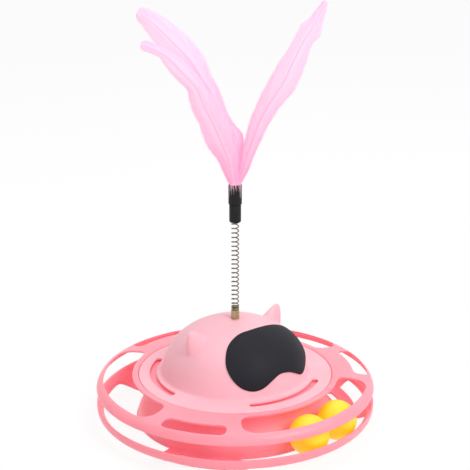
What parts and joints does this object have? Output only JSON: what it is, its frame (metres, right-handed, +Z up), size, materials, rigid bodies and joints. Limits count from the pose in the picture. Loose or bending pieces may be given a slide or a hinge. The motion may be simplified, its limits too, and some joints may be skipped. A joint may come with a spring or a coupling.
{
  "type": "rotating cat toy with ball track and feather wand",
  "caption": "Low round ball track with open windows, a free-spinning cat-eared dome in the middle, loose balls in the track and a feather wand standing on a coil spring.",
  "frame": {"origin": "centre of the round track on the surface that the toy stands on", "axes": "+Z up along the axle of the turntable, -Y towards the side that the picture shows, +X to its right"},
  "size_m": [0.25, 0.25, 0.3718],
  "materials": {
    "track_pink": "satin moulded, saturated pink",
    "dome_pink": "matte moulded, pale pink",
    "patch_charcoal": "soft-touch, charcoal",
    "ball_yellow": "satin, yellow",
    "pad_grey": "matte rubber",
    "bush_white": "self-lubricating nylon, natural white",
    "screw_steel": "zinc plated",
    "spring_steel": "drawn wire, slightly brown",
    "socket_brass": "turned, dull brass",
    "ferrule_black": "black sleeve, satin",
    "feather_pink": "dyed feather, soft"
  },
  "bodies": {
    "base": {"lower_track": "track_pink", "upper_track": "track_pink", "foot_pad_1": "pad_grey", "foot_pad_2": "pad_grey", "foot_pad_3": "pad_grey", "track_screw_1": "screw_steel", "track_screw_2": "screw_steel", "track_screw_3": "screw_steel", "axle_bush": "bush_white"},
    "turntable": {"turntable_plate": "track_pink", "cat_dome": "dome_pink", "coat_patch": "patch_charcoal", "dome_screw_1": "screw_steel", "dome_screw_2": "screw_steel", "dome_screw_3": "screw_steel", "axle_washer": "screw_steel", "axle_screw": "screw_steel", "wand_socket": "socket_brass", "wand_nut": "socket_brass", "wand_spring": "spring_steel"},
    "wand": {"ferrule_lower": "ferrule_black", "ferrule_upper": "ferrule_black", "feather_left_upper": "feather_pink", "feather_left_lower": "feather_pink", "feather_right": "feather_pink"},
    "ball_1": {"track_ball_1": "ball_yellow"},
    "ball_2": {"track_ball_2": "ball_yellow"}
  },
  "joints": [
    {"name": "turntable_spin", "type": "hinge", "parent": "base", "child": "turntable", "pos_m": [0, 0, 0.04], "axis": [0, 0, 1], "continuous": true},
    {"name": "wand_sway", "type": "hinge", "parent": "turntable", "child": "wand", "pos_m": [0, 0, 0.1428], "axis": [0, 1, 0], "range_deg": [-70, 70], "stiffness_Nm_per_rad": 0.06, "deforming": ["wand_spring"]},
    {"name": "ball_1_orbit", "type": "hinge", "parent": "base", "child": "ball_1", "pos_m": [0, 0, 0.0207], "axis": [0, 0, 1], "range_deg": [0, 158]},
    {"name": "ball_2_orbit", "type": "hinge", "parent": "base", "child": "ball_2", "pos_m": [0, 0, 0.0207], "axis": [0, 0, 1], "range_deg": [-158, 0]}
  ]
}
